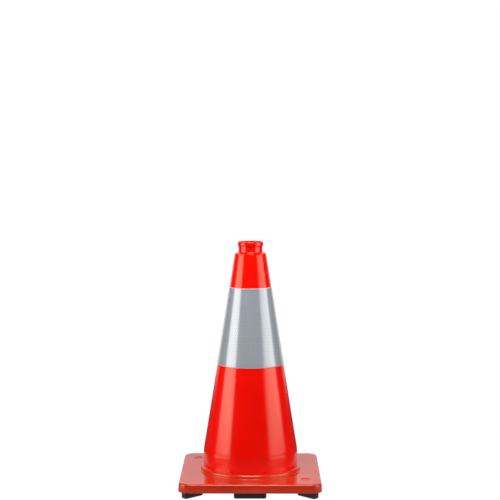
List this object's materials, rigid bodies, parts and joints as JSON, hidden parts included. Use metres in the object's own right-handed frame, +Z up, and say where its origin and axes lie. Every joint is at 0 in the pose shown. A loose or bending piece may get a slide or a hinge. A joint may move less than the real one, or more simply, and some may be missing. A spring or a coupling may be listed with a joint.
{
  "type": "traffic cone",
  "caption": "Orange plastic traffic cone with a weighted square base, rubber feet, a grip neck and a slip-on reflective collar, for marking hazards on a floor or road.",
  "frame": {"origin": "on the floor, at the cone's axis, under the centre of the square base", "axes": "+Z up along the cone's axis, -Y out of the front side of the base, +X to the right seen from the front"},
  "size_m": [0.261, 0.261, 0.4572],
  "materials": {
    "orange_pvc": "glossy moulded soft plastic with a faint ripple",
    "base_pvc": "glossy moulded soft plastic",
    "ballast_rubber": "matte recycled crumb rubber",
    "foot_rubber": "satin moulded rubber",
    "white_vinyl": "smooth flexible vinyl",
    "prism_film": "glossy silver-grey prismatic retroreflective film with a honeycomb of sealed cells"
  },
  "bodies": {
    "cone": {"cone_shell": "orange_pvc", "base_cover": "base_pvc", "ballast_slab": "ballast_rubber", "foot_front": "foot_rubber", "foot_right": "foot_rubber", "foot_back": "foot_rubber", "foot_left": "foot_rubber", "foot_front_left": "foot_rubber", "foot_front_right": "foot_rubber", "foot_back_left": "foot_rubber", "foot_back_right": "foot_rubber"},
    "collar": {"collar_backing": "white_vinyl", "collar_prism_film": "prism_film"}
  },
  "joints": [
    {"name": "collar_lift", "type": "slide", "parent": "cone", "child": "collar", "axis": [0, 0, 1], "range_m": [0, 0.25]}
  ]
}
